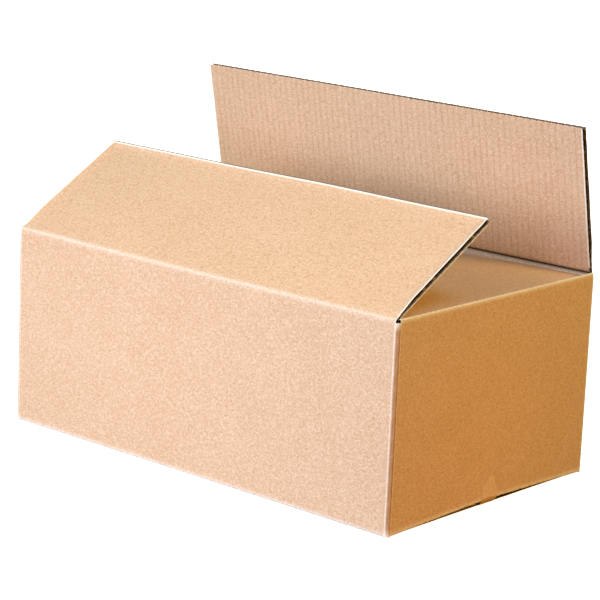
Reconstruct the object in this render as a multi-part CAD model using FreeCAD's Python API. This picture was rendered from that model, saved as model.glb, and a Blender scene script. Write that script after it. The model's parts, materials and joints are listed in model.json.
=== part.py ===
# A regular slotted carton in single-wall corrugated board, with its top flaps left partly open.
# The origin is at the middle of the base, +X runs along the length, +Y to the back and +Z up.
import FreeCAD, Part
import math
import os

# Driving dimensions of the carton, in millimetres and degrees
INNER_LENGTH = 500.0
INNER_WIDTH = 300.0
CLOSED_HEIGHT = 207.0
BOARD = 4.0
FLAP_REACH = 153.0
SLOT_INSET = 4.5
MAIN_FLAP_INSET = 4.8
FRONT_FLAP_ANGLE = 30.0
BACK_FLAP_ANGLE = 78.4
FLAP_OPEN_LIMIT = 205.0
END_FLAP_DROOP = 2.7

# The corrugated section: flute pitch, liners, fluted sheet and the crushed stretch beside a fold
FLUTE_PITCH = 7.9
LINER = 0.35
FLUTED_SHEET = 0.3
FLUTED_FLANK = 0.4
FLUTE_CREST_HALF = 1.0
CRUSHED_STRETCH = 9.0
CUT_OVERRUN = 1.0

# Folds: the main flaps turn on a thin bead of outer liner, the end flaps dip behind a low ridge
FOLD_BEAD = 0.5
FOLD_CLEARANCE = 0.3
MITRE_GAP = 0.4
LOWER_FOLD_RADIUS = 2.0
RIDGE_RADIUS = 2.4
RIDGE_DROP = 0.8
RIDGE_FOOT = 4.4
CORNER_POST_DROP = 4.6
PLY_GAP = 0.4

# The glued seam inside the back left corner
TAB_WIDTH = 35.0
TAB_THICKNESS = 3.5
TAB_END_GAP = 4.0
TAB_BEVEL = 8.0
SEAM_SLIT = 0.3
SEAM_SLIT_DEPTH = 2.5
SEAM_SETBACK = 0.6

# The strip of tape that closes the base
TAPE_WIDTH = 24.0
TAPE_THICKNESS = 0.15
TAPE_BEND_HEIGHT = 5.5
TAPE_NEAR_HEIGHT = 19.5
TAPE_PEAK_HEIGHT = 30.0
TAPE_FAR_HEIGHT = 12.0
TAPE_PEAK_OFFSET = 2.4

# Sizes that follow from the driving ones
LENGTH = INNER_LENGTH + 2 * BOARD
WIDTH = INNER_WIDTH + 2 * BOARD
DIAGONAL = math.sqrt(0.5)
MITRE_SHIFT = MITRE_GAP * DIAGONAL
END_BASE = BOARD + PLY_GAP
X_AXIS = FreeCAD.Vector(1, 0, 0)
Z_AXIS = FreeCAD.Vector(0, 0, 1)
ORIGIN = FreeCAD.Vector(0, 0, 0)


def section_face(steps):
    # Each step is (y, z) for a straight edge, or (mid y, mid z, y, z) for an arc, back to the first
    here = FreeCAD.Vector(0, *steps[0])
    edges = []
    for step in steps[1:]:
        there = FreeCAD.Vector(0, *step[-2:])
        if len(step) == 4:
            edges.append(Part.Arc(here, FreeCAD.Vector(0, *step[:2]), there).toShape())
        else:
            edges.append(Part.makeLine(here, there))
        here = there
    return Part.Face(Part.Wire(edges))


def extrude_across(face, width):
    face.translate(FreeCAD.Vector(-width / 2, 0, 0))
    return face.extrude(FreeCAD.Vector(width, 0, 0))


def turned(shape, degrees):
    copy = shape.copy()
    copy.rotate(ORIGIN, Z_AXIS, degrees)
    return copy


def fuse_all(shapes):
    return shapes[0].fuse(shapes[1:]).removeSplitter()


def flute_tunnels(width, start, end, floor, ceiling):
    # Air channels on both sides of the fluted sheet, running along +Y from start out through end
    foot = FLUTE_PITCH / 2 - FLUTE_CREST_HALF - FLUTED_FLANK
    count = round(width / FLUTE_PITCH)
    tunnels = []
    for half_step in range(-count, count + 1):
        middle = half_step * FLUTE_PITCH / 2
        opens_down = (half_step + count) % 2 == 1
        wide, narrow = (floor, ceiling - FLUTED_SHEET) if opens_down else (ceiling, floor + FLUTED_SHEET)
        corners = [
            FreeCAD.Vector(middle - foot, start, wide),
            FreeCAD.Vector(middle + foot, start, wide),
            FreeCAD.Vector(middle + FLUTE_CREST_HALF, start, narrow),
            FreeCAD.Vector(middle - FLUTE_CREST_HALF, start, narrow),
        ]
        outline = Part.makePolygon(corners + corners[:1])
        tunnels.append(Part.Face(outline).extrude(FreeCAD.Vector(0, end + CUT_OVERRUN - start, 0)))
    return Part.makeCompound(tunnels)


def main_flap(degrees):
    # Built flat with the fold axis along X, then raised to its angle on the front panel
    swing = math.radians(FLAP_OPEN_LIMIT - 180)
    stand_off = FOLD_BEAD + FOLD_CLEARANCE
    inner = FOLD_BEAD - BOARD
    end = FLAP_REACH - FOLD_BEAD
    nose_start = (stand_off + FOLD_BEAD * math.sin(swing)) / math.cos(swing)
    nose_z = (MITRE_SHIFT - stand_off / math.cos(swing)) / (1 + math.tan(swing))
    steps = [
        (nose_start, FOLD_BEAD),
        (MITRE_SHIFT - nose_z, nose_z),
        (MITRE_SHIFT - inner, inner),
        (end, inner),
        (end, FOLD_BEAD),
        (nose_start, FOLD_BEAD),
    ]
    width = LENGTH - 2 * MAIN_FLAP_INSET
    flap = extrude_across(section_face(steps), width)
    flap = flap.cut(flute_tunnels(width, CRUSHED_STRETCH, end, inner + LINER, FOLD_BEAD - LINER))
    flap.rotate(ORIGIN, X_AXIS, degrees)
    flap.translate(FreeCAD.Vector(0, FOLD_BEAD - WIDTH / 2, CLOSED_HEIGHT - FOLD_BEAD))
    return flap


def long_side():
    # Front panel with the bead that its top flap turns on and the outer flap of the base
    outer = -WIDTH / 2
    inner = outer + BOARD
    axis_y = outer + FOLD_BEAD
    axis_z = CLOSED_HEIGHT - FOLD_BEAD
    bead_in = (math.sqrt(2 * FOLD_BEAD ** 2 - MITRE_SHIFT ** 2) - MITRE_SHIFT) / 2
    lower = LOWER_FOLD_RADIUS
    steps = [
        (outer + lower, 0),
        (outer + FLAP_REACH, 0),
        (outer + FLAP_REACH, BOARD),
        (inner, BOARD),
        (inner, axis_z - (inner - axis_y) - MITRE_SHIFT),
        (axis_y + bead_in, axis_z - bead_in - MITRE_SHIFT),
        (axis_y, axis_z + FOLD_BEAD, outer, axis_z),
        (outer, lower),
        (outer + lower * (1 - DIAGONAL), lower * (1 - DIAGONAL), outer + lower, 0),
    ]
    return extrude_across(section_face(steps), LENGTH - 2 * SLOT_INSET)


def end_flap_top(reach_in):
    # Height of the end flap's upper face at a distance in from the end panel's outer face
    fall = (reach_in - RIDGE_FOOT) * math.tan(math.radians(END_FLAP_DROOP))
    return CLOSED_HEIGHT - RIDGE_FOOT - fall


def end_side():
    # End panel with its drooping top flap and the inner flap of the base, made facing the front
    outer = -LENGTH / 2
    inner = outer + BOARD
    droop = math.radians(END_FLAP_DROOP)
    upright = BOARD / math.cos(droop)
    ridge_top = CLOSED_HEIGHT - RIDGE_DROP
    lower = LOWER_FOLD_RADIUS
    round_off = 1 - DIAGONAL
    steps = [
        (outer + lower, END_BASE),
        (outer + FLAP_REACH, END_BASE),
        (outer + FLAP_REACH, END_BASE + BOARD),
        (inner, END_BASE + BOARD),
        (inner, end_flap_top(BOARD) - upright),
        (outer + FLAP_REACH - BOARD * math.sin(droop),
         end_flap_top(FLAP_REACH) - BOARD * math.cos(droop)),
        (outer + FLAP_REACH, end_flap_top(FLAP_REACH)),
        (outer + RIDGE_FOOT, end_flap_top(RIDGE_FOOT)),
        (outer + RIDGE_RADIUS, ridge_top),
        (outer + RIDGE_RADIUS * round_off, ridge_top - RIDGE_RADIUS * round_off,
         outer, ridge_top - RIDGE_RADIUS),
        (outer, END_BASE + lower),
        (outer + lower * round_off, END_BASE + lower * round_off, outer + lower, END_BASE),
    ]
    width = WIDTH - 2 * SLOT_INSET
    side = extrude_across(section_face(steps), width)

    lower_tunnels = flute_tunnels(width, CRUSHED_STRETCH, FLAP_REACH, LINER, BOARD - LINER)
    lower_tunnels.translate(FreeCAD.Vector(0, outer, END_BASE))
    upper_tunnels = flute_tunnels(width, CRUSHED_STRETCH, FLAP_REACH, LINER - BOARD, -LINER)
    upper_tunnels.rotate(ORIGIN, X_AXIS, -END_FLAP_DROOP)
    upper_tunnels.translate(FreeCAD.Vector(0, outer, end_flap_top(0)))
    return side.cut([lower_tunnels, upper_tunnels])


def upright_prism(points, bottom, top):
    corners = [FreeCAD.Vector(x, y, bottom) for x, y in points]
    outline = Part.makePolygon(corners + corners[:1])
    return Part.Face(outline).extrude(FreeCAD.Vector(0, 0, top - bottom))


def corner_post(x_sign, y_sign):
    # The rounded fold between two panels, between the slots that part the flaps
    bend_x = x_sign * (LENGTH / 2 - SLOT_INSET)
    bend_y = y_sign * (WIDTH / 2 - SLOT_INSET)
    bottom, top = END_BASE, CLOSED_HEIGHT - CORNER_POST_DROP
    bend = Part.makeCylinder(SLOT_INSET, top - bottom, FreeCAD.Vector(bend_x, bend_y, bottom))
    outward = FreeCAD.Vector(min(0, x_sign), min(0, y_sign), 0) * SLOT_INSET
    quarter = Part.makeBox(SLOT_INSET, SLOT_INSET, top - bottom,
                           FreeCAD.Vector(bend_x, bend_y, bottom) + outward)
    hollow_side = SLOT_INSET - BOARD
    inward = FreeCAD.Vector(min(0, x_sign), min(0, y_sign), 0) * hollow_side
    hollow = Part.makeBox(hollow_side, hollow_side, top - bottom,
                          FreeCAD.Vector(bend_x, bend_y, bottom) + inward)
    return bend.common(quarter).cut(hollow)


def seam_post():
    # Back left corner: the back panel folds in behind the end panel, whose cut edge shows its flute
    left, back = -LENGTH / 2, WIDTH / 2
    edge = back - SEAM_SETBACK
    slit_floor = back - SEAM_SLIT_DEPTH
    fold = left + BOARD
    bend = left + SLOT_INSET
    return upright_prism([
        (bend, back),
        (fold, back - (bend - fold)),
        (fold, slit_floor),
        (fold - SEAM_SLIT, slit_floor),
        (fold - SEAM_SLIT, edge),
        (fold - SEAM_SLIT - LINER, edge),
        (fold - SEAM_SLIT - LINER, slit_floor),
        (left + LINER, slit_floor),
        (left + LINER, edge),
        (left, edge),
        (left, back - SLOT_INSET),
        (fold, back - SLOT_INSET),
        (fold, back - BOARD),
        (bend, back - BOARD),
    ], END_BASE, CLOSED_HEIGHT - CORNER_POST_DROP)


def glue_tab():
    # Tapered tab that carries on from the back panel and lies glued inside the left end panel
    root = WIDTH / 2 - BOARD
    tip = root - TAB_WIDTH
    bottom = END_BASE + BOARD + TAB_END_GAP
    top = end_flap_top(FLAP_REACH) - BOARD - TAB_END_GAP
    tab = Part.Face(Part.makePolygon([FreeCAD.Vector(0, y, z) for y, z in (
        (root, bottom),
        (tip, bottom + TAB_BEVEL),
        (tip, top - TAB_BEVEL),
        (root, top),
        (root, bottom),
    )])).extrude(FreeCAD.Vector(TAB_THICKNESS, 0, 0))
    tab.translate(FreeCAD.Vector(BOARD - LENGTH / 2, 0, 0))
    return tab


def tape_bed():
    # Shallow bed that the tape presses into the outer flaps of the base
    bed_length = LENGTH - 2 * SLOT_INSET
    return Part.makeBox(bed_length, TAPE_WIDTH, TAPE_THICKNESS,
                        FreeCAD.Vector(-bed_length / 2, -TAPE_WIDTH / 2, 0))


def carton_body():
    front = long_side()
    right = turned(end_side(), 90)
    pieces = [
        front,
        turned(front, 180),
        right,
        turned(right, 180),
        corner_post(1, -1),
        corner_post(1, 1),
        corner_post(-1, -1),
        seam_post(),
        glue_tab(),
    ]
    return fuse_all(pieces).cut(tape_bed())


def tape_end():
    # The tape crosses the slot gap, bends up the right end panel and ends in a torn point
    half = TAPE_WIDTH / 2
    foot = LENGTH / 2 - SLOT_INSET
    face = LENGTH / 2
    lift = Part.Face(Part.makePolygon([FreeCAD.Vector(x, -half, z) for x, z in (
        (foot, 0),
        (face + TAPE_THICKNESS, TAPE_BEND_HEIGHT),
        (face, TAPE_BEND_HEIGHT),
        (foot, TAPE_THICKNESS),
        (foot, 0),
    )])).extrude(FreeCAD.Vector(0, TAPE_WIDTH, 0))
    patch = Part.Face(Part.makePolygon([FreeCAD.Vector(face, y, z) for y, z in (
        (-half, TAPE_BEND_HEIGHT),
        (half, TAPE_BEND_HEIGHT),
        (half, TAPE_FAR_HEIGHT),
        (TAPE_PEAK_OFFSET, TAPE_PEAK_HEIGHT),
        (-half, TAPE_NEAR_HEIGHT),
        (-half, TAPE_BEND_HEIGHT),
    )])).extrude(FreeCAD.Vector(TAPE_THICKNESS, 0, 0))
    return lift.fuse(patch)


def bottom_tape():
    right = tape_end()
    return fuse_all([tape_bed(), right, turned(right, 180)])


def main():
    os.makedirs("parts", exist_ok=True)
    nodes = {
        "carton_body": carton_body(),
        "front_flap": main_flap(FRONT_FLAP_ANGLE),
        "back_flap": turned(main_flap(BACK_FLAP_ANGLE), 180),
        "bottom_tape": bottom_tape(),
    }
    for name, shape in nodes.items():
        shape.exportStep("parts/" + name + ".step")
        print(name, shape.isValid(), len(shape.Solids), "solid, volume", round(shape.Volume))


main()
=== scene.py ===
import json
import math
import bpy
import numpy as np
from mathutils import Matrix, Vector


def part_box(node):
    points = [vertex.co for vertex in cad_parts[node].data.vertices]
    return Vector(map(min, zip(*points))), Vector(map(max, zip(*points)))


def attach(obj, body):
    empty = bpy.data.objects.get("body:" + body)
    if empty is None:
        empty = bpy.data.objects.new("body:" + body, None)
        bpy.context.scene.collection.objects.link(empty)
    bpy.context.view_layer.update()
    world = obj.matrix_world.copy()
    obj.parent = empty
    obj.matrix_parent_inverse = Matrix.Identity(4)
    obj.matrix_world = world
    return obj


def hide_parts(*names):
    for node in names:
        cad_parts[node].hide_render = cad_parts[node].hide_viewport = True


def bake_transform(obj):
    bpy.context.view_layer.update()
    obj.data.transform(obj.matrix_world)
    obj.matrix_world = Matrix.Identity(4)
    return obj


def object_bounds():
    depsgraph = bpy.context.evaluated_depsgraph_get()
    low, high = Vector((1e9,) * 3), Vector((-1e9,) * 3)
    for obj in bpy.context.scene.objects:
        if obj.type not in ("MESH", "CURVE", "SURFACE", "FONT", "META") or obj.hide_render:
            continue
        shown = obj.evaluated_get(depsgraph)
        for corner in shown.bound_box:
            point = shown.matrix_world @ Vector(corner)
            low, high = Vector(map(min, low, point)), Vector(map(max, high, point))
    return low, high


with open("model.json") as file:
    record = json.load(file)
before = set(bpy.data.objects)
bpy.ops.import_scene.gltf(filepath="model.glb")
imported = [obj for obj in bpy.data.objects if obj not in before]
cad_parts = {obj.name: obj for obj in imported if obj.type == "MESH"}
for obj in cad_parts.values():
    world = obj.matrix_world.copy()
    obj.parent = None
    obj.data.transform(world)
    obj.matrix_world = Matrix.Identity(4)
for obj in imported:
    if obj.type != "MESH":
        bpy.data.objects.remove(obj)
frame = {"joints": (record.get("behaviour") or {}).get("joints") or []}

CAD_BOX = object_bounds()
MM = 0.001

# The corrugated board
BOARD = 4.0 * MM
LINER = 0.38 * MM
FLUTED_SHEET = 0.42 * MM
FLUTE_PITCH = 7.9 * MM
CRUSHED = 1.4 * MM
OUTER_RIPPLE = 0.07 * MM
INNER_RIPPLE = 0.18 * MM
CREASE_BUMP = 0.35 * MM
EDGE_FLARE = 2.3 * MM
CUT_LINE = 1.3 * MM
END_FLAP_REACH = 168 * MM
FOLD_REACH = 2.4 * MM
FLARE_REACH = 6 * MM
RAGGED = 0.5 * MM
INNER_MARGIN = 0.5 * MM
SEAM_SLIT = 0.3 * MM
TAB_REACH = 35 * MM

# The tape: its thickness, half its width, where it turns up, and the bed that it presses
TAPE = 0.15 * MM
TAPE_HALF = 12.0 * MM
TAPE_TURN = 5.5 * MM
TAPE_BED_HALF = 12.4 * MM
TAPE_BED_DEPTH = 0.2 * MM

# Sizes taken from the frame
BODY_LOW, BODY_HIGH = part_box("carton_body")
LENGTH = BODY_HIGH.x - BODY_LOW.x
WIDTH = BODY_HIGH.y - BODY_LOW.y
HEIGHT = BODY_HIGH.z
JOINTS = {joint["name"]: joint for joint in frame["joints"]}
AXIS_DEPTH = HEIGHT - JOINTS["front_fold"]["pos_m"][2]
FRONT_ANGLE = math.radians(-JOINTS["front_fold"]["range_deg"][0])
BACK_ANGLE = math.radians(-JOINTS["back_fold"]["range_deg"][0])
BACK_FLAP_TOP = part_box("back_flap")[1].z
FLAP_RUN = ((BACK_FLAP_TOP - HEIGHT + AXIS_DEPTH - AXIS_DEPTH * math.cos(BACK_ANGLE))
            / math.sin(BACK_ANGLE))
FLAP_REACH = FLAP_RUN + AXIS_DEPTH
SLOT_INSET = 3.8 * MM
END_INSET = 3.6 * MM
END_BASE = 4.4 * MM
LOWER_FOLD = 2.0 * MM
POST_DROP = 3.0 * MM
RIDGE_RISE = 0.6 * MM
RIDGE_RADIUS = 1.6 * MM
RIDGE_TURN = 175
VALLEY_RADIUS = 0.7 * MM
VALLEY_TURN = 84.4
END_FLAP_DROOP = 2.6
LOWER_CRUSH_REACH = 3.2 * MM
CREASE_HALF = 6.0 * MM
CREASE_SAG = 1.1 * MM

# Spacing of the mesh rows along the sheet
WALL_ROWS = 24 * MM
MAIN_FLAP_ROWS = 2 * MM
END_FLAP_ROWS = 4 * MM
FOLD_ROWS = 1 * MM
SHORT_RUN = 24 * MM
SHORT_ROWS = 1.2 * MM

# The fluted sheet: its depth at a cut end, its columns, and spots where it bridges the channel and is
# left without painted shade
END_STRIP = 8 * MM
FINE_PER_FLUTE = 10
SIDE_COLUMNS = 22
BRIDGES = (33, 49, 112)

# Tones of the board, in linear light
LINER_DEEP = (0.685, 0.445, 0.287)
LINER_PALE = (0.715, 0.472, 0.312)
FIBRE = (0.57, 0.345, 0.20)
GRAIN = (0.86, 0.64, 0.48)
SPECK = (0.20, 0.11, 0.06)
FLUTE_SHADE = (0.46, 0.25, 0.14)
# Pale, for worn edges and for painted highlights
WORN_AND_HIGHLIGHT = (0.95, 0.87, 0.82)
# Brown for the corner folds, with painted shade in it
TAN_AND_SHADE = (0.41, 0.20, 0.085)
SHADOW = (0.012, 0.007, 0.004)
TAPE_TINT = (1.18, 1.24, 1.36)
# Painted sheen streaks on the tape
TAPE_PAINTED_SHEEN = (0.86, 0.66, 0.48)

# How strongly the cut edges are worn, and how pale the ends' ridges are along their crest: worn, cracked
# liner with a painted highlight
CUT_WEAR = 1.4
RIDGE_WEAR_AND_HIGHLIGHT = {"crest": 0.9, "crest_reach": 4.3 * MM, "sharpness": 4}

# The camera that was fitted to the photo
CAMERA_PLACE = (1.5796, -1.8125, 0.7339)
CAMERA_AZIMUTH = 41.056
CAMERA_ELEVATION = 13.558
CAMERA_ROLL = 2.483
CAMERA_LENS = 145.73

# The floor, just under the carton
FLOOR_REACH = 14.0
FLOOR_DROP = 0.2 * MM


# Tracing a section of the sheet

def graded(length, spacing, skip=1):
    # Distances along a run, close together near its ends, each with whether a liner needs it
    near = [d * MM for d in (0.7, 1.5, 2.5, 3.6, 5.0, 7.5, 11.0)]
    if length < SHORT_RUN:
        count = max(1, round(length / SHORT_ROWS))
        return [(length * k / count, True) for k in range(1, count + 1)]
    steps = max(1, round((length - 2 * near[-1]) / spacing))
    middle = np.linspace(near[-1], length - near[-1], steps + 1)[1:-1]
    far = [length - d for d in reversed(near)] + [length]
    return ([(d, True) for d in near] + [(d, k % skip == skip - 1) for k, d in enumerate(middle)]
            + [(d, True) for d in far])


def trace(start, heading, moves):
    # Follows the sheet's outer face: outward is to the left of the heading. A fold is a curve
    # with the reach of its crushing and its crushed thickness, and a mark names a row
    point = np.array(start, float)
    angle = math.radians(heading)
    points, angles, travel, coarse = [point], [angle], [0.0], [True]
    folds, marks = [], {}
    for kind, *sizes in moves:
        if kind == "mark":
            marks[sizes[0]] = len(points) - 1
        elif kind == "run":
            for d, needed in graded(*sizes):
                coarse.append(needed)
                points.append(point + d * np.array([math.cos(angle), math.sin(angle)]))
                angles.append(angle)
                travel.append(travel[-1] + np.linalg.norm(points[-1] - points[-2]))
        else:
            radius, turn = sizes[0], math.radians(sizes[1])
            side = math.copysign(1, turn)
            centre = point + side * radius * np.array([-math.sin(angle), math.cos(angle)])
            steps = max(4, round(abs(sizes[1]) / 10))
            arm = point - centre
            entry = travel[-1]
            for k in range(1, steps + 1):
                part = turn * k / steps
                coarse.append(True)
                turned = np.array([arm[0] * math.cos(part) - arm[1] * math.sin(part),
                                   arm[0] * math.sin(part) + arm[1] * math.cos(part)])
                points.append(centre + turned)
                angles.append(angle + part)
                travel.append(entry + radius * abs(part))
            angle += turn
            if kind == "fold":
                folds.append(((entry + travel[-1]) / 2, sizes[2], sizes[3]))
        point = points[-1]
    angles, travel = np.array(angles), np.array(travel)
    fold_gap = np.full(len(travel), 1.0)
    thickness = np.full(len(travel), BOARD)
    for place, reach, crushed in folds:
        fold_gap = np.minimum(fold_gap, abs(travel - place))
        crush = np.exp(-((travel - place) / reach) ** 2)
        thickness = np.minimum(thickness, BOARD - (BOARD - crushed) * crush)
    return {
        "points": np.array(points),
        "normals": np.stack([-np.sin(angles), np.cos(angles)], 1),
        "thickness": thickness,
        "fold_gap": fold_gap,
        "travel": travel,
        "coarse": np.array(coarse),
        "marks": marks,
    }


def columns(width, per_flute):
    count = round(width / FLUTE_PITCH) * per_flute
    return np.linspace(-width / 2, width / 2, count + 1)


def liner_columns(width, per_flute):
    # Columns with the last ones set to a pale line beside each cut side
    xs = columns(width, per_flute)
    xs[1], xs[2] = xs[0] + CUT_LINE, xs[0] + 1.8 * CUT_LINE
    xs[-2], xs[-3] = xs[-1] - CUT_LINE, xs[-1] - 1.8 * CUT_LINE
    return xs


def cut_distance(path, rows, xs):
    # Distance to the nearest free edge of a main flap, and how far the spot is from its crease
    travel = path["travel"]
    from_side = (abs(xs[0]) - abs(xs))[None, :] + 0 * travel[rows][:, None]
    from_end = (travel[-1] - travel[rows])[:, None] + 0 * xs[None, :]
    from_crease = travel[rows] - travel[path["marks"]["flap"]]
    return np.minimum(from_side, from_end), np.clip(from_crease / (25 * MM), 0, 1)[:, None]


def lay_faces(path, rows, xs, phase, shift, flare=0.0):
    # Points of the outer and inner face, as rows along the path and columns across the flutes
    wave = np.cos(2 * math.pi * xs / FLUTE_PITCH + phase)[None, :]
    normal = path["normals"][rows][:, None, :]
    base = path["points"][rows][:, None, :]
    gap = path["fold_gap"][rows][:, None]
    thick = path["thickness"][rows][:, None]
    uneven = 0.6 + 0.4 * np.sin(xs * 310.0 + 1.7 * np.sin(xs * 97.0))[None, :]
    at_fold = np.exp(-(gap / FOLD_REACH) ** 2)
    out_move = -OUTER_RIPPLE * (1 - wave) / 2 - CREASE_BUMP * at_fold * (1 - wave) / 2 * uneven
    in_move = INNER_RIPPLE * (1 + wave) / 2 * (1 - at_fold)
    if flare:
        from_cut, clear = cut_distance(path, rows, xs)
        out_move = out_move + flare * np.exp(-(from_cut / FLARE_REACH) ** 2) * clear
    move = shift(path, rows, xs)
    x = np.broadcast_to(xs[None, :], (len(rows), len(xs)))

    def place(depth):
        flat = base + normal * (0 * gap + 0 * wave + depth)[:, :, None] + move
        flat[:, :, 1] = np.minimum(flat[:, :, 1], CAD_BOX[1][2])
        return np.concatenate([x[:, :, None], flat], 2)

    # A tight fold's inner face stays behind the wall's outer face
    inner = place(-thick + in_move)
    inner[:, :, 1] = np.maximum(inner[:, :, 1], path["points"][:, 0].min() + INNER_MARGIN)
    return place(out_move), inner, wave, at_fold


def through_sheet(outer, inner):
    # Unit vectors from the inner face to the outer one, and the depth between the two
    span = outer - inner
    depth = np.linalg.norm(span, axis=2, keepdims=True)
    return span / depth, depth


def no_shift(path, rows, xs):
    return np.zeros((len(rows), len(xs), 2))


def ragged(points, path, rows, size, seed):
    # Pulls the side columns inward by a small uneven amount, as a blunt blade leaves them
    s = path["travel"][rows] / MM
    for column, sign, turn in ((0, 1, 0.0), (-1, -1, 2.0)):
        pull = size * (0.5 + 0.5 * np.sin(s * 0.55 + seed + turn) * np.sin(s * 0.23 + 2 * seed))
        points[:, column, 0] += sign * pull
    return points


# Building closed meshes

def slab_faces(rows, cols):
    o = np.arange(rows * cols).reshape(rows, cols)
    n = o + rows * cols
    strips = [
        (o[:-1, :-1], o[:-1, 1:], o[1:, 1:], o[1:, :-1]),
        (n[:-1, :-1], n[1:, :-1], n[1:, 1:], n[:-1, 1:]),
        (o[:-1, 0], o[1:, 0], n[1:, 0], n[:-1, 0]),
        (o[:-1, -1], n[:-1, -1], n[1:, -1], o[1:, -1]),
        (o[0, :-1], n[0, :-1], n[0, 1:], o[0, 1:]),
        (o[-1, :-1], o[-1, 1:], n[-1, 1:], n[-1, :-1]),
    ]
    return np.concatenate([np.stack([c.ravel() for c in strip], 1) for strip in strips])


class Mesh:
    # Collects closed slabs with their tones, and makes one object of them: pale for wear and painted
    # highlights, flute lines, dark for painted shade, and tan for brown with painted shade
    def __init__(self):
        self.points, self.faces, self.tones = [], [], []
        self.count = 0

    def add(self, outer, inner, wear=0.0, flute=0.0, dark=0.0, tan=0.0):
        rows, cols = outer.shape[:2]
        self.faces.append(slab_faces(rows, cols) + self.count)
        self.points += [outer.reshape(-1, 3), inner.reshape(-1, 3)]
        tones = np.zeros((2, rows, cols, 4))
        tones[..., 0] = wear
        tones[..., 1] = flute
        tones[..., 2] = dark
        tones[..., 3] = tan
        self.tones.append(tones.reshape(-1, 4))
        self.count += 2 * rows * cols

    def make(self, name, quarter_turns=0):
        points = np.concatenate(self.points)
        c, s = ((1, 0), (0, 1), (-1, 0), (0, -1))[quarter_turns]
        turned = np.stack([points[:, 0] * c - points[:, 1] * s,
                           points[:, 0] * s + points[:, 1] * c, points[:, 2]], 1)
        mesh = bpy.data.meshes.new(name)
        mesh.from_pydata(turned.tolist(), [], np.concatenate(self.faces).tolist())
        mesh.polygons.foreach_set("use_smooth", [True] * len(mesh.polygons))
        mesh.set_sharp_from_angle(angle=math.radians(38))
        tones = np.concatenate(self.tones)
        for k, label in enumerate(("wear", "flute", "dark", "tan")):
            mesh.attributes.new(label, "FLOAT", "POINT").data.foreach_set(
                "value", tones[:, k].astype(np.float32))
        piece = bpy.data.objects.new(name, mesh)
        bpy.context.scene.collection.objects.link(piece)
        return piece


def edge_wear(rows, cols, sides):
    # Full on the cut rows and columns that sides names, 0 elsewhere
    wear = np.zeros((rows, cols))
    if "start" in sides:
        wear[:2] = CUT_WEAR
    if "end" in sides:
        wear[-2:] = CUT_WEAR
    if "sides" in sides:
        wear[:, :2] = wear[:, -2:] = CUT_WEAR
    return wear


def add_solid_board(mesh, path, first, last, width, phase, shift=no_shift, inner_dark=0.0, crest=1.0,
                    crest_reach=2.9 * MM, sharpness=2, per_flute=4, shade=None, inner_painted_light=None):
    # A stretch of sheet whose core never shows: a liner over a slab with painted shade at its cut sides,
    # where the flutes open
    rows = np.arange(first, last + 1)
    xs = liner_columns(width, per_flute)
    outer, inner, wave, at_fold = lay_faces(path, rows, xs, phase, shift)
    unit, _ = through_sheet(outer, inner)
    wide = 0 * wave + 0 * at_fold
    gap = path["fold_gap"][rows][:, None]
    # A pale line along the fold's crest, worn and cracked, with a painted highlight; the cut sides are
    # worn pale
    wear = crest * np.exp(-(gap / crest_reach) ** sharpness) + wide
    wear[:, 0] = wear[:, -1] = 1.2
    # Painted shade inside the fold, as strong as inner_dark, and on the cut sides
    groove_shade = inner_dark * np.exp(-(gap / (1.5 * MM)) ** 2) + wide
    groove_shade[:, 0] = groove_shade[:, -1] = 1.0
    face_dark = wide if shade is None else shade(path, rows, xs)
    # Painted light on the inner face, where it is given
    paler = wide if inner_painted_light is None else inner_painted_light(path, rows, xs)
    under = outer - unit * LINER
    mesh.add(outer, under, np.stack([wear, wear]), 0.0, face_dark[None])
    mesh.add(under, inner, np.stack([wide, paler]), np.stack([wide, wave + wide]), groove_shade[None])


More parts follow.
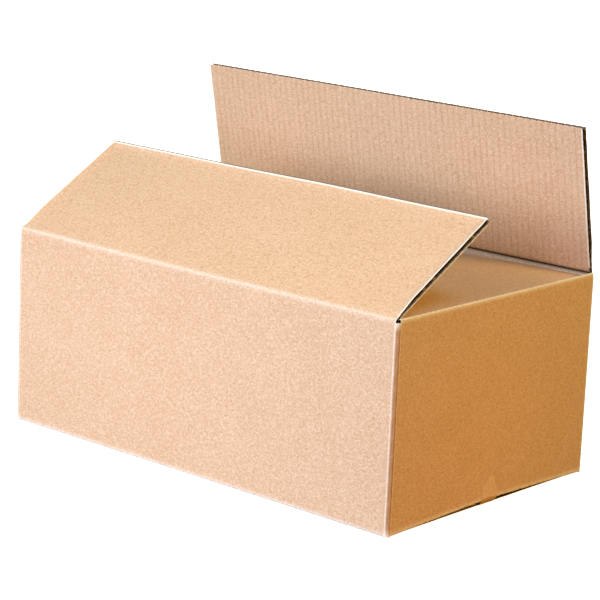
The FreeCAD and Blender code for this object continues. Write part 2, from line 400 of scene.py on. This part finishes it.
def add_open_board(mesh, path, first, last, width, phase, shift=no_shift, cut=("end", "sides"),
                   flare=0.0, seed=1.0, shade=None, end_line=0.0, per_flute=4, paint_paler=None):
    # A stretch of sheet whose cut edges show: two liners with the fluted sheet between them
    every = np.arange(first, last + 1)
    rows = every[path["coarse"][every]]
    xs = liner_columns(width, per_flute)
    outer, inner, wave, at_fold = lay_faces(path, rows, xs, phase, shift, flare)
    unit, _ = through_sheet(outer, inner)
    # Cut edges are worn pale, and folds are paler too: wear with a painted highlight
    edge = edge_wear(len(rows), len(xs), cut)
    wear = np.maximum(edge, at_fold)
    wide = 0 * wave + 0 * at_fold
    # Painted shade for the outer liner's underside, which faces into the channel, a little less at the
    # cut edges
    under = 1 - 0.2 * edge / CUT_WEAR
    out_low = outer - unit * LINER
    in_high = inner + unit * LINER
    for points in (outer, out_low):
        ragged(points, path, rows, RAGGED, seed)
    for points in (inner, in_high):
        ragged(points, path, rows, RAGGED, seed + 1.3)
    # Along the front flap's free edge a paler worn band runs just before the cut, and the very edge gets
    # a painted shadow line
    face_dark = wide.copy()
    face_dark[-2:] = end_line
    if end_line:
        wear[-4:-2] = 1.2
    if shade is not None:
        face_dark = np.maximum(face_dark, shade(path, rows, xs))
    # Painted light, where it is given, makes the face paler and greyer
    if paint_paler is not None:
        wear = np.maximum(wear, paint_paler(path, rows, xs))
    # Painted shade for the inner liner's face towards the channel, except at its cut edges
    lip = np.clip(1 - edge, 0, 1)
    # The outer liner, then the inner one, whose cut end is less worn
    mesh.add(outer, out_low, np.stack([wear, 0.4 * edge]), 0.0, np.stack([face_dark, under]))
    wear[-2] = at_fold[-2]
    wear[-1] = 0.5
    mesh.add(in_high, inner, np.stack([0.7 * edge, wear]), np.stack([wide, wave + wide]),
             np.stack([lip, wide]))
    travel = path["travel"]
    if "start" in cut:
        strip = rows[travel[rows] - travel[rows[0]] < END_STRIP]
    else:
        strip = rows[travel[rows[-1]] - travel[rows] < END_STRIP]
    fine = columns(width, FINE_PER_FLUTE)
    inset = SIDE_COLUMNS - FINE_PER_FLUTE
    add_fluted(mesh, path, strip, fine[inset:-inset], phase, shift, flare, cut)
    add_fluted(mesh, path, every, fine[:SIDE_COLUMNS], phase, shift, flare, cut, seed, -1)
    add_fluted(mesh, path, every, fine[-SIDE_COLUMNS:], phase, shift, flare, cut, seed, 1)


def add_fluted(mesh, path, rows, fine, phase, shift, flare, cut, seed=1.0, side=0):
    # The fluted sheet, torn back unevenly from a cut side
    half = abs(fine).max()
    if side:
        # Laid together with both sides of the sheet, so that the flare knows where they are
        whole = np.array([-half, *fine, half])
        outer, inner, wave, _ = lay_faces(path, rows, whole, phase, shift, flare)
        outer, inner, wave = outer[:, 1:-1], inner[:, 1:-1], wave[:, 1:-1]
    else:
        outer, inner, wave, _ = lay_faces(path, rows, fine, phase, shift)
        from_end = path["travel"][-1] - path["travel"][rows]
        lift = flare * np.exp(-(from_end / FLARE_REACH) ** 2)
        outer[:, :, 1:] += (path["normals"][rows] * lift[:, None])[:, None, :]
        outer[:, :, 2] = np.minimum(outer[:, :, 2], CAD_BOX[1][2])
    unit, depth = through_sheet(outer, inner)
    swing = (depth - 2 * LINER - FLUTED_SHEET) / 2 * wave[:, :, None]
    middle = (outer + inner) / 2 + unit * swing
    # Painted shade fills the channel, apart from the cut end, the torn sides and a few bridged spots,
    # and where the torn sides show they are painted paler
    travel = path["travel"][rows]
    end = travel[0] if "start" in cut else travel[-1]
    at_end = np.exp(-((travel - end) / (0.5 * MM)) ** 2)[:, None]
    light = 0.9 * at_end + np.zeros((1, len(fine)))
    if side:
        from_side = half - abs(fine)
        s = travel / MM
        patchy = 0.62 + 0.2 * np.sin(0.9 * s + seed) * np.sin(0.37 * s + 2 * seed)
        patchy = patchy + 0.1 * np.sin(2.3 * s)
        lit = np.clip(2.35 - from_side / MM, 0, 0.4) / 0.4 * np.clip(from_side / RAGGED, 0.1, 1)
        light = np.maximum(light, 1.25 * patchy[:, None] * lit[None, :])
        for place in BRIDGES:
            bridge = np.exp(-(s - s[0] - place - 9 * seed) ** 2)[:, None]
            light = np.maximum(light, 0.8 * bridge)
        torn = 0.9 + 0.5 * np.sin(1.9 * s + seed) + 0.5 * np.sin(0.7 * s + 3 * seed)
        pull = np.clip(torn, 0.1, 2.0)[:, None] * MM * np.exp(-from_side / (2.5 * MM))[None, :]
        middle[:, :, 0] -= side * pull
    # A blunt blade crushes the fluted sheet at a cut end
    sheet = FLUTED_SHEET * np.ones(len(travel))
    if not side:
        sheet = sheet * (1 + 2.4 * np.exp(-((travel - end) / (0.7 * MM)) ** 2))
    half_sheet = unit * sheet[:, None, None] / 2
    upper, lower = middle + half_sheet, middle - half_sheet
    for points in (upper, lower):
        points[:, :, 2] = np.minimum(points[:, :, 2], CAD_BOX[1][2])
    mesh.add(upper, lower,
             0.5 * light[None] if side else 0.0, 0.0, np.clip(1 - light, 0, 1)[None])


# The sections of the carton

def long_path(flap_angle, crease_radius, crease_reach, crease_crush):
    # Base flap, fold, wall, crease and main top flap of a long side, in one line
    bend = math.pi / 2 - flap_angle
    corner_rise = AXIS_DEPTH * math.tan(bend / 2)
    corner_run = -AXIS_DEPTH * math.cos(flap_angle) + corner_rise * math.sin(flap_angle)
    tangent = crease_radius * math.tan(bend / 2)
    wall_top = HEIGHT - AXIS_DEPTH + corner_rise
    return trace((FLAP_REACH - WIDTH / 2, 0), 180, [
        ("run", FLAP_REACH - LOWER_FOLD, WALL_ROWS),
        ("fold", LOWER_FOLD, -90, LOWER_CRUSH_REACH, CRUSHED),
        ("mark", "wall"),
        ("run", wall_top - LOWER_FOLD - CREASE_HALF, WALL_ROWS),
        ("mark", "crease"),
        ("run", CREASE_HALF - tangent, FOLD_ROWS),
        ("fold", crease_radius, -math.degrees(bend), crease_reach, crease_crush),
        ("run", CREASE_HALF - tangent, FOLD_ROWS),
        ("mark", "flap"),
        ("run", FLAP_RUN - corner_run - CREASE_HALF, MAIN_FLAP_ROWS, 7),
    ])


def end_path():
    # Base flap, fold, end wall, ridge and drooping top flap of a short side
    ridge_start = HEIGHT + RIDGE_RISE - RIDGE_RADIUS
    return trace((FLAP_REACH - LENGTH / 2, END_BASE), 180, [
        ("run", FLAP_REACH - LOWER_FOLD, WALL_ROWS),
        ("fold", LOWER_FOLD, -90, LOWER_CRUSH_REACH, CRUSHED),
        ("mark", "wall"),
        ("run", ridge_start - END_BASE - LOWER_FOLD, WALL_ROWS),
        ("mark", "ridge"),
        ("fold", RIDGE_RADIUS, -RIDGE_TURN, 3.4 * MM, 2.4 * MM),
        ("run", 2.9 * MM, FOLD_ROWS),
        ("curve", VALLEY_RADIUS, VALLEY_TURN),
        ("mark", "flap"),
        ("run", 52 * MM, END_FLAP_ROWS, 3),
        ("curve", 1333 * MM, -END_FLAP_DROOP),
        ("run", END_FLAP_REACH - 120 * MM, END_FLAP_ROWS, 3),
    ])


def corner_shade(path, rows, xs):
    # Painted shade: the slots at the corners stay dark, and the end flap's face is darkened right beside
    # them
    along = path["travel"][rows] - path["travel"][path["marks"]["flap"]]
    from_side = abs(xs[0]) - abs(xs)
    beside = np.exp(-(from_side / (5 * MM)) ** 2)[None, :]
    near = np.exp(-(from_side / (26 * MM)) ** 2)[None, :] * (xs < 0)[None, :]
    corner = 0.97 * np.exp(-(along / (14 * MM)) ** 2)[:, None] * beside
    # A fainter, wider painted shadow along the side where xs < 0, which on the right end lies under the
    # front flap
    under_flap = 0.22 * np.exp(-(along / (70 * MM)) ** 2)[:, None] * near
    return np.maximum(corner, under_flap)


def corner_painted_light(path, rows, xs):
    # Painted light: the end flap's face is greyer and paler where the front flap hangs over it and keeps
    # light off it
    along = path["travel"][rows] - path["travel"][path["marks"]["flap"]]
    from_side = abs(xs[0]) - abs(xs)
    near = np.exp(-(from_side / (60 * MM)) ** 2)[None, :] * (xs < 0)[None, :]
    return 0.34 * np.exp(-(along / (90 * MM)) ** 2)[:, None] * near


def ridge_shade(path, rows, xs):
    # Painted shade: past its crest the ridge is darkened at both ends, where the corner slots are
    travel, marks = path["travel"], path["marks"]
    crest = (travel[marks["ridge"]] + travel[marks["flap"]]) / 2
    past = np.clip((travel[rows] - crest) / (1.2 * MM) + 0.5, 0, 1)
    from_side = abs(xs[0]) - abs(xs)
    return past[:, None] * np.exp(-(from_side / (5 * MM)) ** 2)[None, :]


def upper_painted_light(path, rows, xs):
    # Painted light: a long side's inner face is paler in the strip just under its crease, which lies in
    # shade
    travel, marks = path["travel"], path["marks"]
    fold = (travel[marks["crease"]] + travel[marks["flap"]]) / 2
    drop = fold - travel[rows]
    paler = 0.55 * np.exp(-(drop / (30 * MM)) ** 2) * np.clip(drop / (1 * MM), 0, 1)
    return paler[:, None] + np.zeros((1, len(xs)))


def base_shift(path, rows, xs):
    # The tape presses a shallow bed into the base flap's outer face
    y = path["points"][rows][:, 0]
    under_tape = (y > -TAPE_BED_HALF) & (rows < path["marks"]["wall"])
    pressed = np.where(under_tape, TAPE_BED_DEPTH, 0.0)
    move = np.zeros((len(rows), len(xs), 2))
    move[:, :, 1] = pressed[:, None]
    return move


def end_sag(path, rows, xs):
    # The end panel's lower fold comes down towards the floor at both corners
    travel = path["travel"]
    fold = travel[path["marks"]["wall"]]
    reach = np.interp(travel[rows] - fold, [-6 * MM, -1.5 * MM, 0, 60 * MM], [0, 1, 1, 0])
    move = np.zeros((len(rows), len(xs), 2))
    drop = (END_BASE - 0.5 * MM) * abs(xs) / abs(xs).max()
    move[:, :, 1] = -reach[:, None] * drop[None, :]
    return move


def crease_sag(path, rows, xs):
    # The long crease hangs a little low at mid length, and the flap's free edge bows
    travel = path["travel"]
    wall, crease, flap = (travel[path["marks"][k]] for k in ("wall", "crease", "flap"))
    stations = [wall, (wall + crease) / 2, crease, flap, travel[-1]]
    rise = np.interp(travel[rows], stations, [0, 0, 1, 1, 0])
    across = np.cos(math.pi * xs / (LENGTH - 2 * SLOT_INSET))
    move = np.zeros((len(rows), len(xs), 2))
    move[:, :, 1] = -CREASE_SAG * rise[:, None] * across[None, :]
    out = np.interp(travel[rows], [flap, travel[-1]], [0, 1])[:, None]
    bow = (0.5 * np.sin(xs * 14.0 + 0.6) + 0.25 * np.sin(xs * 31.0))[None, :] * MM * out ** 2
    return move + path["normals"][rows][:, None, :] * bow[:, :, None]


def long_side_pieces(side, angle, radius, reach, crush, phase, quarter_turns):
    path = long_path(angle, radius, reach, crush)
    marks = path["marks"]
    width = LENGTH - 2 * SLOT_INSET
    last = len(path["travel"]) - 1
    body = Mesh()
    lower_end = marks["wall"]
    add_open_board(body, path, 0, lower_end, width, phase + math.pi, base_shift, cut=("start", "sides"))
    add_solid_board(body, path, lower_end, marks["crease"], width, phase, crease_sag,
                    inner_painted_light=upper_painted_light)
    wall = body.make(side + "_panel_board", quarter_turns)
    strip = Mesh()
    # The crease gets painted shade on its inner face and a pale crest line: worn, cracked liner with a
    # painted highlight
    add_solid_board(strip, path, marks["crease"], marks["flap"], width, phase, crease_sag,
                    inner_dark=1.0, crest=0.42, per_flute=6, inner_painted_light=upper_painted_light)
    crease = strip.make(side + "_crease", quarter_turns)
    leaf = Mesh()
    add_open_board(leaf, path, marks["flap"], last, width, phase, crease_sag, flare=EDGE_FLARE,
                   end_line=0.85 if side == "front" else 0.0, per_flute=6)
    flap = leaf.make(side + "_flap_board", quarter_turns)
    return wall, crease, flap


def end_pieces(side, quarter_turns):
    path = end_path()
    marks = path["marks"]
    width = WIDTH - 2 * END_INSET
    wall = Mesh()
    last = len(path["travel"]) - 1
    add_open_board(wall, path, 0, marks["wall"], width, 0.0, end_sag, cut=("start", "sides"))
    add_solid_board(wall, path, marks["wall"], marks["ridge"], width, 0.0, end_sag,
                    **RIDGE_WEAR_AND_HIGHLIGHT)
    flap = Mesh()
    add_solid_board(flap, path, marks["ridge"], marks["flap"], width, 0.0, shade=ridge_shade,
                    **RIDGE_WEAR_AND_HIGHLIGHT)
    add_open_board(flap, path, marks["flap"], last, width, 0.0, cut=("end",), shade=corner_shade,
                   paint_paler=corner_painted_light)
    return wall.make(side + "_end_board", quarter_turns), flap.make(side + "_end_flap", quarter_turns)


def corner_folds():
    # Rounded folds between the panels, with the back left one replaced by the glued seam
    mesh = Mesh()
    heights = np.linspace(0.6 * MM, HEIGHT - POST_DROP, 24)
    for x_sign, y_sign, first, crest, brown_and_shade in (
        (1, -1, -90, 0.04, 0.78), (1, 1, 0, 0.5, 0.0), (-1, -1, 180, 0.9, 0.2),
    ):
        centre = np.array([x_sign * (LENGTH / 2 - SLOT_INSET), y_sign * (WIDTH / 2 - SLOT_INSET)])
        angles = np.radians(np.linspace(first, first + 90, 10))
        spoke = np.stack([np.cos(angles), np.sin(angles)], 1)
        outer, inner = (np.zeros((len(heights), len(angles), 3)) for _ in range(2))
        outer[:, :, :2] = centre + spoke * SLOT_INSET
        inner[:, :, :2] = centre + spoke * (SLOT_INSET - 3.4 * MM)
        outer[:, :, 2] = inner[:, :, 2] = heights[:, None]
        turn = np.linspace(0, 1, len(angles))
        # A pale line along the crest: wear with a painted highlight; the cut rows at the ends are worn
        wear = 0.5 * np.exp(-((turn - crest) / 0.12) ** 2)[None, :] + np.zeros((len(heights), 1))
        wear[0] = wear[-1] = 1.3
        # Brown streaks of the crushed fold run up it, with painted shade worked into the brown across
        # its turn, strongest on the front right fold, and its top gets painted shade inside the slot
        tone = np.interp(turn, [0, 0.16, 0.3, 0.42, 0.56, 0.68, 0.8, 1],
                         [0, 0.35, 1.1, 1.1, 0.65, 0.8, 1.05, 1.0])
        patch = 1 + 0.18 * np.sin(heights[:, None] * 420 + 3 * turn[None, :])
        tan = brown_and_shade * tone[None, :] * patch + np.zeros_like(wear)
        tan[-1] = tan[0] = 0
        dark = np.zeros_like(wear)
        dark[-1] = 1
        mesh.add(outer, inner, wear[None], 0.0, np.stack([0 * dark, dark]), tan[None])
    return mesh.make("corner_folds")


def seam_pieces():
    # The back panel's last fold, the end panel's cut edge beside it and the tab glued inside
    mesh = Mesh()
    left, back = -LENGTH / 2, WIDTH / 2
    bottom, top = END_BASE, HEIGHT - POST_DROP

    def upright(x0, x1, y0, y1, low=bottom, high=top):
        heights = np.linspace(low, high, 12)
        xs = np.array([x0, x1])
        outer, inner = (np.zeros((len(heights), 2, 3)) for _ in range(2))
        outer[:, :, 0] = inner[:, :, 0] = xs[None, :]
        outer[:, :, 1], inner[:, :, 1] = y0, y1
        outer[:, :, 2] = inner[:, :, 2] = heights[:, None]
        mesh.add(outer, inner, 0.4)

    edge = back - 0.6 * MM
    rear = back - SLOT_INSET
    fold = left + BOARD
    upright(left, left + LINER, rear, edge)
    slit = fold - SEAM_SLIT
    upright(slit - LINER, slit, rear, edge)
    upright(left + LINER, slit - LINER, rear, back - 2.5 * MM)
    upright(fold, fold + 3.4 * MM, back - BOARD - TAB_REACH, back - BOARD,
            bottom + 12 * MM, top - 18 * MM)
    return mesh.make("glued_seam")


def tape_piece():
    # A thin strip that runs along the base seam and turns up each end panel, torn at both ends
    ys = np.linspace(-TAPE_HALF, TAPE_HALF, 25)
    right_top = np.interp(ys / MM, [-12, -11, 2.4, 11.4, 12], [19.0, 20.2, 30.0, 13.0, 11.6]) * MM
    left_top = np.interp(ys / MM, [-12, -4, 5, 12], [22, 26, 17, 24]) * MM
    face = LENGTH / 2 + TAPE
    foot = LENGTH / 2 - SLOT_INSET
    outer_rows, inner_rows = [], []

    def row(x, z, nx, nz):
        outer_rows.append(np.stack([x + 0 * ys, ys, z + 0 * ys], 1))
        inner_rows.append(np.stack([x - nx * TAPE + 0 * ys, ys, z - nz * TAPE + 0 * ys], 1))

    for up in np.linspace(1, 0, 9):
        row(-face, TAPE_TURN + up * (left_top - TAPE_TURN), -1, 0)
    for x in np.linspace(-foot, foot, 90):
        row(x, 0.0, 0, -1)
    for up in np.linspace(0, 1, 9):
        row(face, TAPE_TURN + up * (right_top - TAPE_TURN), 1, 0)
    mesh = Mesh()
    mesh.add(np.array(inner_rows), np.array(outer_rows))
    return mesh.make("base_tape")


# Materials

def new_material(name):
    material = bpy.data.materials.new(name)
    material.use_nodes = True
    nodes = material.node_tree.nodes
    shader = nodes["Principled BSDF"]
    return material, nodes, material.node_tree.links, shader


def math_node(nodes, links, operation, a, b):
    node = nodes.new("ShaderNodeMath")
    node.operation = operation
    for socket, value in zip(node.inputs, (a, b)):
        if isinstance(value, (int, float)):
            socket.default_value = value
        else:
            links.new(value, socket)
    return node.outputs[0]


def mix_colour(nodes, links, share, a, b, blend="MIX"):
    node = nodes.new("ShaderNodeMix")
    node.data_type = "RGBA"
    node.blend_type = blend
    for socket, value in ((node.inputs[0], share), (node.inputs[6], a), (node.inputs[7], b)):
        if isinstance(value, tuple):
            socket.default_value = (*value, 1.0)
        elif isinstance(value, (int, float)):
            socket.default_value = value
        else:
            links.new(value, socket)
    return node.outputs[2]


def noise(nodes, links, coords, scale, detail, stretch=(1, 1, 1)):
    mapping = nodes.new("ShaderNodeMapping")
    mapping.inputs["Scale"].default_value = stretch
    links.new(coords, mapping.inputs["Vector"])
    node = nodes.new("ShaderNodeTexNoise")
    node.inputs["Scale"].default_value = scale
    node.inputs["Detail"].default_value = detail
    node.inputs["Roughness"].default_value = 0.6
    links.new(mapping.outputs[0], node.inputs["Vector"])
    return node.outputs["Fac"]


def ramp(nodes, links, value, low, high, to_low=0.0, to_high=1.0):
    node = nodes.new("ShaderNodeMapRange")
    node.inputs["From Min"].default_value = low
    node.inputs["From Max"].default_value = high
    node.inputs["To Min"].default_value = to_low
    node.inputs["To Max"].default_value = to_high
    links.new(value, node.inputs["Value"])
    return node.outputs[0]


def attribute(nodes, name):
    node = nodes.new("ShaderNodeAttribute")
    node.attribute_name = name
    return node.outputs["Fac"]


def kraft_colour(nodes, links, coords, tint=(1.0, 1.0, 1.0)):
    # Fine fibre grain over a nearly even ground, with rare dark specks
    def tone(rgb):
        return tuple(c * t for c, t in zip(rgb, tint))

    grain = noise(nodes, links, coords, 600, 2)
    fibre = noise(nodes, links, coords, 380, 2, (0.6, 0.6, 1.3))
    cloud = noise(nodes, links, coords, 14, 2)
    base = mix_colour(nodes, links, ramp(nodes, links, cloud, 0.35, 0.65),
                      tone(LINER_DEEP), tone(LINER_PALE))
    base = mix_colour(nodes, links, ramp(nodes, links, fibre, 0.50, 0.66, 0.0, 0.68), base, tone(FIBRE))
    base = mix_colour(nodes, links, ramp(nodes, links, grain, 0.48, 0.64, 0.0, 0.68), base, tone(GRAIN))
    speck = nodes.new("ShaderNodeTexVoronoi")
    speck.inputs["Scale"].default_value = 30
    links.new(coords, speck.inputs["Vector"])
    near = ramp(nodes, links, speck.outputs["Distance"], 0.016, 0.03, 1.0, 0.0)
    chosen = math_node(nodes, links, "GREATER_THAN", speck.outputs["Color"], 0.68)
    base = mix_colour(nodes, links, math_node(nodes, links, "MULTIPLY", near, chosen), base, tone(SPECK))
    return base, grain, fibre


def kraft_material():
    material, nodes, links, shader = new_material("kraft_board")
    coords = nodes.new("ShaderNodeTexCoord").outputs["Object"]
    base, grain, fibre = kraft_colour(nodes, links, coords)
    dashes = noise(nodes, links, coords, 210, 3, (1.0, 1.0, 0.3))
    flute = ramp(nodes, links, attribute(nodes, "flute"), 0.1, 1.0, 0.0, 1.0)
    broken = ramp(nodes, links, dashes, 0.42, 0.68, 0.12, 0.42)
    flute = math_node(nodes, links, "MULTIPLY", flute, broken)
    base = mix_colour(nodes, links, flute, base, FLUTE_SHADE)
    # The pale tone marks worn edges and painted highlights along folds and strips; then come the corner
    # folds' brown with painted shade, and painted shade from the dark tone
    wear = math_node(nodes, links, "MULTIPLY", attribute(nodes, "wear"),
                     ramp(nodes, links, grain, 0.3, 0.6, 0.45, 0.95))
    base = mix_colour(nodes, links, wear, base, WORN_AND_HIGHLIGHT)
    base = mix_colour(nodes, links, attribute(nodes, "tan"), base, TAN_AND_SHADE)
    base = mix_colour(nodes, links, attribute(nodes, "dark"), base, SHADOW)
    links.new(base, shader.inputs["Base Color"])
    links.new(ramp(nodes, links, fibre, 0.3, 0.7, 0.74, 0.9), shader.inputs["Roughness"])
    shader.inputs["Specular IOR Level"].default_value = 0.2
    bump = nodes.new("ShaderNodeBump")
    bump.inputs["Strength"].default_value = 0.5
    bump.inputs["Distance"].default_value = 0.00015
    links.new(math_node(nodes, links, "ADD", grain, fibre), bump.inputs["Height"])
    links.new(bump.outputs[0], shader.inputs["Normal"])
    return material


def tape_material():
    # The film is clear, so it carries the board's own grain, lighter and with a soft gloss and streaks
    # of painted sheen
    material, nodes, links, shader = new_material("clear_tape")
    coords = nodes.new("ShaderNodeTexCoord").outputs["Object"]
    base, grain, fibre = kraft_colour(nodes, links, coords, TAPE_TINT)
    streak = noise(nodes, links, coords, 160, 3, (0.2, 3.0, 1.0))
    base = mix_colour(nodes, links, ramp(nodes, links, streak, 0.4, 0.7, 0.0, 0.25), base, TAPE_PAINTED_SHEEN)
    links.new(base, shader.inputs["Base Color"])
    links.new(ramp(nodes, links, streak, 0.3, 0.7, 0.25, 0.40), shader.inputs["Roughness"])
    return material


def floor_material():
    material, nodes, links, shader = new_material("pale_floor")
    coords = nodes.new("ShaderNodeTexCoord").outputs["Object"]
    tone = noise(nodes, links, coords, 3, 2)
    links.new(mix_colour(nodes, links, tone, (0.88, 0.88, 0.88), (0.92, 0.92, 0.92)),
              shader.inputs["Base Color"])
    shader.inputs["Roughness"].default_value = 0.9
    shader.inputs["Emission Color"].default_value = (1.0, 1.0, 1.0, 1.0)
    shader.inputs["Emission Strength"].default_value = 0.96
    return material


# Camera, lights and floor

def add_camera():
    azimuth, elevation, roll = (
        math.radians(a) for a in (CAMERA_AZIMUTH, CAMERA_ELEVATION, CAMERA_ROLL))
    level = Vector((math.cos(azimuth), math.sin(azimuth), 0))
    ahead = Vector((-math.sin(azimuth) * math.cos(elevation),
                    math.cos(azimuth) * math.cos(elevation), -math.sin(elevation)))
    over = level.cross(ahead)
    right = level * math.cos(roll) + over * math.sin(roll)
    up = over * math.cos(roll) - level * math.sin(roll)
    data = bpy.data.cameras.new("camera")
    data.sensor_width = 36.0
    data.lens = CAMERA_LENS
    data.clip_end = 50
    camera = bpy.data.objects.new("camera", data)
    turn = Matrix((right, up, -ahead)).transposed().to_4x4()
    camera.matrix_world = Matrix.Translation(CAMERA_PLACE) @ turn
    bpy.context.scene.collection.objects.link(camera)
    bpy.context.scene.camera = camera


def add_light(name, place, aim, size, power, colour):
    data = bpy.data.lights.new(name, "AREA")
    data.shape = "SQUARE"
    data.size = size
    data.energy = power
    data.color = colour
    lamp = bpy.data.objects.new(name, data)
    lamp.location = place
    lamp.rotation_euler = (Vector(aim) - Vector(place)).to_track_quat("-Z", "Y").to_euler()
    lamp.visible_camera = False
    bpy.context.scene.collection.objects.link(lamp)


LIGHTS = [
    # name, place, aim, size, power, colour
    ("key_light", (-1.3, -3.0, 1.35), (0, 0, 0.16), 1.8, 101, (0.94, 0.99, 0.93)),
    ("front_light", (0.35, -3.2, 0.9), (0, 0, 0.16), 1.8, 57, (0.80, 0.80, 1.0)),
    ("warm_light", (2.5, 0.12, 1.7), (0, 0, 0.16), 0.9, 52, (1.0, 0.62, 0.05)),
    ("side_glow_light", (0.48, -0.05, 0.03), (0.25, -0.03, 0.0), 0.30, 0.13, (1.0, 0.15, 0.0)),
    ("front_glow_light", (-0.05, -0.55, 0.03), (-0.05, -0.15, 0.0), 0.60, 0.6, (1.0, 0.85, 0.80)),
    ("top_light", (1.4, -0.1, 2.6), (0, 0, 0.16), 1.4, 22.6, (0.52, 0.82, 1.0)),
    ("back_fill_light", (-2.4, 2.4, 1.2), (0, 0, 0.16), 1.6, 60, (1.0, 0.95, 0.88)),
]


def add_studio():
    for name, place, aim, size, power, colour in LIGHTS:
        add_light(name, place, aim, size, power, colour)
    world = bpy.data.worlds.new("white_surround")
    world.use_nodes = True
    world.node_tree.nodes["Background"].inputs["Color"].default_value = (1, 1, 1, 1)
    bpy.context.scene.world = world
    world.cycles_visibility.diffuse = False
    world.cycles_visibility.glossy = False
    mesh = bpy.data.meshes.new("floor")
    r = FLOOR_REACH
    mesh.from_pydata([(-r, -r, 0), (r, -r, 0), (r, r, 0), (-r, r, 0)], [], [(0, 1, 2, 3)])
    floor = bpy.data.objects.new("floor", mesh)
    floor.location.z = -FLOOR_DROP
    floor.visible_diffuse = False
    floor.visible_glossy = False
    mesh.materials.append(floor_material())
    bpy.context.scene.collection.objects.link(floor)
    bpy.context.scene.view_settings.view_transform = "Standard"
    bpy.context.scene.view_settings.look = "None"


def finish_piece(piece, material, body=None):
    piece.data.materials.append(material)
    if body:
        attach(piece, body)


def bend_crease(piece):
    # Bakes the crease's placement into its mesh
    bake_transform(piece)


def build():
    kraft = kraft_material()
    tape = tape_material()
    # The crease's radius, how far its crushing reaches and how thin it gets differ by side
    for side, angle, radius, reach, crush, phase, turns, child, sign in (
        ("front", FRONT_ANGLE, 2.5 * MM, 3.2 * MM, 3.4 * MM, 0.0, 0, "front_lid", -1),
        ("back", BACK_ANGLE, 6.0 * MM, 2.4 * MM, CRUSHED, math.pi, 2, "back_lid", 1),
    ):
        wall, crease, flap = long_side_pieces(side, angle, radius, reach, crush, phase, turns)
        finish_piece(wall, kraft, "carton")
        finish_piece(crease, kraft)
        bend_crease(crease)
        finish_piece(flap, kraft, child)
        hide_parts(side + "_flap")
        if side == "front":
            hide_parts("carton_body")
    for side, turns in (("right", 1), ("left", 3)):
        for piece in end_pieces(side, turns):
            finish_piece(piece, kraft, "carton")
    finish_piece(corner_folds(), kraft, "carton")
    finish_piece(seam_pieces(), kraft, "carton")
    strip = tape_piece()
    finish_piece(strip, tape, "carton")
    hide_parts("bottom_tape")


build()
add_camera()
add_studio()
